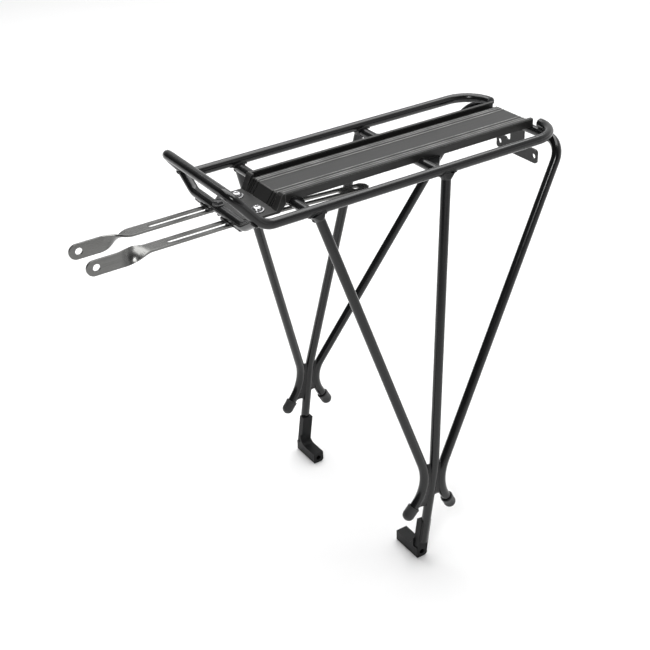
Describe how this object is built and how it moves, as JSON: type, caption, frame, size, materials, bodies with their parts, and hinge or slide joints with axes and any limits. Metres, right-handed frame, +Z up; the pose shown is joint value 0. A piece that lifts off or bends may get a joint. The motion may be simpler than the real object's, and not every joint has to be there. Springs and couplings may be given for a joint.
{
  "type": "bicycle rear rack",
  "caption": "Tubular rear bicycle rack with an extruded deck, raised front hoop, splayed side struts, a reflector bracket and slotted sliding front stays.",
  "frame": {"origin": "middle of the common axis of the two foot bolt bores", "axes": "+X towards the front of the bicycle, +Y left, +Z up"},
  "size_m": [0.4578, 0.2328, 0.4105],
  "materials": {
    "tube_paint": "satin-gloss black paint over bent round tube",
    "weld_paint": "satin black paint over weld beads",
    "deck_coat": "charcoal satin coat with fine lengthwise extrusion lines",
    "mount_coat": "charcoal satin coat",
    "guide_coat": "satin black coat",
    "bracket_coat": "matte black coat",
    "foot_cast": "matte black coat over cast metal",
    "cap_plastic": "matte dark grey moulded plastic",
    "stay_steel": "lengthwise brushed steel strap",
    "bright_fasteners": "bright plated steel",
    "dark_fasteners": "black oxide with worn bright edges"
  },
  "bodies": {
    "rack": {"bar_centre_bolt": "dark_fasteners", "deck_extrusion": "deck_coat", "deck_nose": "deck_coat", "front_cross_tube": "tube_paint", "front_hoop": "tube_paint", "front_lower_bar": "tube_paint", "guide_bolts": "dark_fasteners", "left_foot": "foot_cast", "left_front_cap": "cap_plastic", "left_front_gusset": "tube_paint", "left_front_strut": "tube_paint", "left_middle_gusset": "tube_paint", "left_middle_strut": "tube_paint", "left_node_welds": "weld_paint", "left_rail": "tube_paint", "left_rear_cap": "cap_plastic", "left_rear_strut": "tube_paint", "left_stay_guide": "guide_coat", "middle_cross_tube": "tube_paint", "rear_cross_tube": "tube_paint", "reflector_bracket": "bracket_coat", "right_foot": "foot_cast", "right_front_cap": "cap_plastic", "right_front_gusset": "tube_paint", "right_front_strut": "tube_paint", "right_middle_gusset": "tube_paint", "right_middle_strut": "tube_paint", "right_node_welds": "weld_paint", "right_rail": "tube_paint", "right_rear_cap": "cap_plastic", "right_rear_strut": "tube_paint", "right_stay_guide": "guide_coat", "stay_clamp_bolts": "bright_fasteners", "stay_clamp_nuts": "bright_fasteners", "stay_clamp_washers": "bright_fasteners", "stay_mount_plate": "mount_coat"},
    "left_stay": {"left_stay": "stay_steel"},
    "right_stay": {"right_stay": "stay_steel"}
  },
  "joints": [
    {"name": "left_stay_slide", "type": "slide", "parent": "rack", "child": "left_stay", "axis": [1, 0, 0], "range_m": [-0.055, 0.006]},
    {"name": "right_stay_slide", "type": "slide", "parent": "rack", "child": "right_stay", "axis": [1, 0, 0], "range_m": [-0.055, 0.006]}
  ]
}
